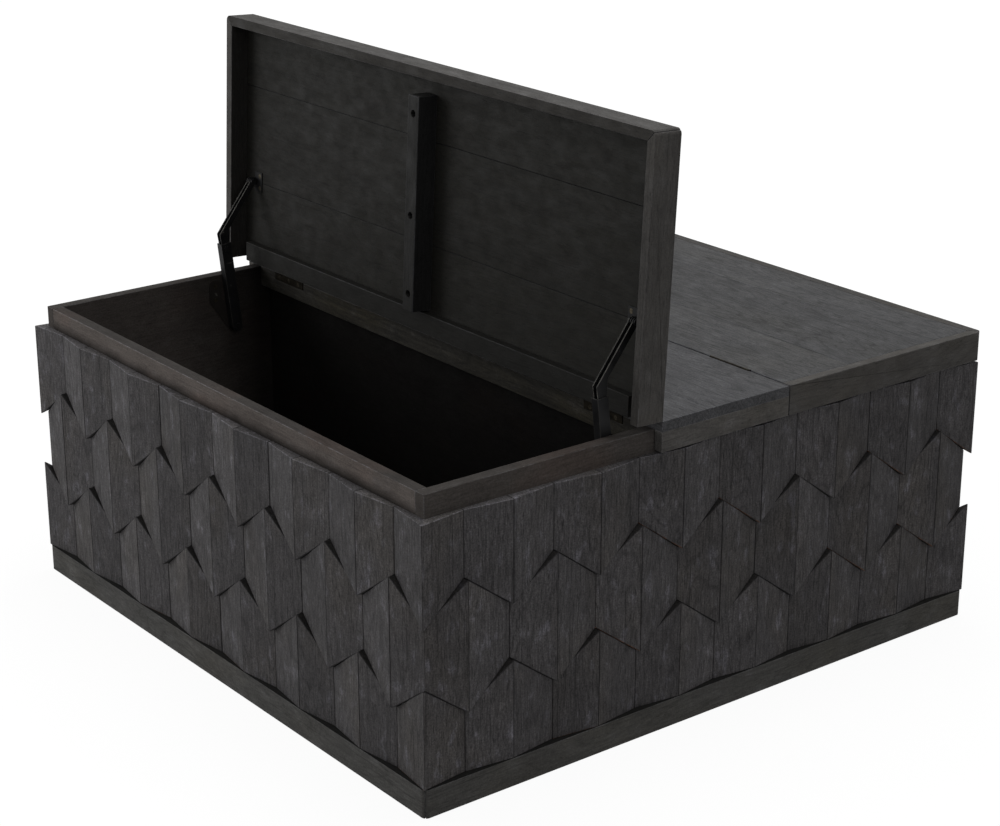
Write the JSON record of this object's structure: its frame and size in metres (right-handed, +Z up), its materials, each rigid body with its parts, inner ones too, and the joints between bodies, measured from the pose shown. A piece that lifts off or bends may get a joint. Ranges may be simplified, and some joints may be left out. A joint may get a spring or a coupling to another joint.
{
  "type": "trunk coffee table",
  "caption": "Square trunk coffee table with faceted zigzag cladding, a plinth and hinged lids either side of a fixed centre panel, held open by lid stays",
  "frame": {"origin": "middle of the base, on the floor", "axes": "+X to the right along the front, whose lid stands open; +Y from the front to the rear; +Z up"},
  "size_m": [1.016, 1.015, 0.8462],
  "materials": {
    "plinth_wood": "dark stain, matt",
    "box_black": "matt black stain",
    "cladding_wood": "dark stain, matt",
    "top_wood": "dark stain, matt",
    "lid_wood": "dark stain, matt",
    "band_wood": "dark stain, matt",
    "apron_brown": "dark stain, matt",
    "stay_black": "semi-gloss",
    "screw_black": "matt",
    "hinge_brass": "tarnished",
    "screw_steel": "dull zinc"
  },
  "bodies": {
    "trunk": {"plinth_front": "plinth_wood", "plinth_right": "plinth_wood", "plinth_rear": "plinth_wood", "plinth_left": "plinth_wood", "wall_front": "box_black", "wall_right": "box_black", "wall_rear": "box_black", "wall_left": "box_black", "bottom_panel": "box_black", "partition_front": "box_black", "partition_rear": "box_black", "cladding_front": "cladding_wood", "cladding_right": "cladding_wood", "cladding_rear": "cladding_wood", "cladding_left": "cladding_wood", "centre_planks": "top_wood", "centre_band_right": "band_wood", "centre_band_left": "band_wood", "centre_apron_front": "apron_brown", "centre_apron_rear": "apron_brown", "front_stay_wall_plates": "stay_black", "rear_stay_wall_plates": "stay_black", "stay_base_rivets": "stay_black", "front_hinge_fixed_leaves": "hinge_brass", "front_hinge_pins": "hinge_brass", "rear_hinge_fixed_leaves": "hinge_brass", "rear_hinge_pins": "hinge_brass", "body_screws": "screw_steel"},
    "front_lid": {"front_lid_planks": "lid_wood", "front_lid_hinge_rail": "lid_wood", "front_lid_batten": "lid_wood", "front_lid_edge_rail": "band_wood", "front_lid_right_stile": "band_wood", "front_lid_left_stile": "band_wood", "front_stay_lid_plates": "stay_black", "front_stay_lid_rivets": "stay_black", "front_lid_batten_screws": "screw_black", "front_hinge_lid_leaves": "hinge_brass", "front_lid_screws": "screw_steel"},
    "rear_lid": {"rear_lid_planks": "lid_wood", "rear_lid_hinge_rail": "lid_wood", "rear_lid_batten": "lid_wood", "rear_lid_edge_rail": "band_wood", "rear_lid_right_stile": "band_wood", "rear_lid_left_stile": "band_wood", "rear_stay_lid_plates": "stay_black", "rear_stay_lid_rivets": "stay_black", "rear_lid_batten_screws": "screw_black", "rear_hinge_lid_leaves": "hinge_brass", "rear_lid_screws": "screw_steel"},
    "front_right_lower": {"front_right_lower_arm": "stay_black"},
    "front_right_upper": {"front_right_upper_arm": "stay_black"},
    "front_left_lower": {"front_left_lower_arm": "stay_black"},
    "front_left_upper": {"front_left_upper_arm": "stay_black"},
    "rear_right_lower": {"rear_right_lower_arm": "stay_black"},
    "rear_right_upper": {"rear_right_upper_arm": "stay_black"},
    "rear_left_lower": {"rear_left_lower_arm": "stay_black"},
    "rear_left_upper": {"rear_left_upper_arm": "stay_black"}
  },
  "joints": [
    {"name": "front_lid_hinge", "type": "hinge", "parent": "trunk", "child": "front_lid", "pos_m": [0, -0.117, 0.4535], "axis": [1, 0, 0], "range_deg": [0, 93]},
    {"name": "rear_lid_hinge", "type": "hinge", "parent": "trunk", "child": "rear_lid", "pos_m": [0, 0.117, 0.4535], "axis": [1, 0, 0], "range_deg": [0, 93]},
    {"name": "front_right_base_pivot", "type": "hinge", "parent": "trunk", "child": "front_right_lower", "pos_m": [0.464, -0.172, 0.3525], "axis": [1, 0, 0], "range_deg": [0, 93]},
    {"name": "front_right_knee", "type": "hinge", "parent": "front_right_lower", "child": "front_right_upper", "pos_m": [0.464, -0.18671, 0.48445], "axis": [1, 0, 0], "range_deg": [-93, 0]},
    {"name": "front_left_base_pivot", "type": "hinge", "parent": "trunk", "child": "front_left_lower", "pos_m": [-0.464, -0.172, 0.3525], "axis": [1, 0, 0], "range_deg": [0, 93]},
    {"name": "front_left_knee", "type": "hinge", "parent": "front_left_lower", "child": "front_left_upper", "pos_m": [-0.464, -0.18671, 0.48445], "axis": [1, 0, 0], "range_deg": [-93, 0]},
    {"name": "rear_right_base_pivot", "type": "hinge", "parent": "trunk", "child": "rear_right_lower", "pos_m": [0.464, 0.172, 0.3525], "axis": [1, 0, 0], "range_deg": [0, 93]},
    {"name": "rear_right_knee", "type": "hinge", "parent": "rear_right_lower", "child": "rear_right_upper", "pos_m": [0.464, 0.303, 0.3309], "axis": [1, 0, 0], "range_deg": [-93, 0]},
    {"name": "rear_left_base_pivot", "type": "hinge", "parent": "trunk", "child": "rear_left_lower", "pos_m": [-0.464, 0.172, 0.3525], "axis": [1, 0, 0], "range_deg": [0, 93]},
    {"name": "rear_left_knee", "type": "hinge", "parent": "rear_left_lower", "child": "rear_left_upper", "pos_m": [-0.464, 0.303, 0.3309], "axis": [1, 0, 0], "range_deg": [-93, 0]}
  ],
  "couplings": [
    {"joint": "front_right_base_pivot", "follows": "front_lid_hinge", "ratio": 1},
    {"joint": "front_right_knee", "follows": "front_lid_hinge", "ratio": -1},
    {"joint": "front_left_base_pivot", "follows": "front_lid_hinge", "ratio": 1},
    {"joint": "front_left_knee", "follows": "front_lid_hinge", "ratio": -1},
    {"joint": "rear_right_base_pivot", "follows": "rear_lid_hinge", "ratio": 1},
    {"joint": "rear_right_knee", "follows": "rear_lid_hinge", "ratio": -1},
    {"joint": "rear_left_base_pivot", "follows": "rear_lid_hinge", "ratio": 1},
    {"joint": "rear_left_knee", "follows": "rear_lid_hinge", "ratio": -1}
  ]
}
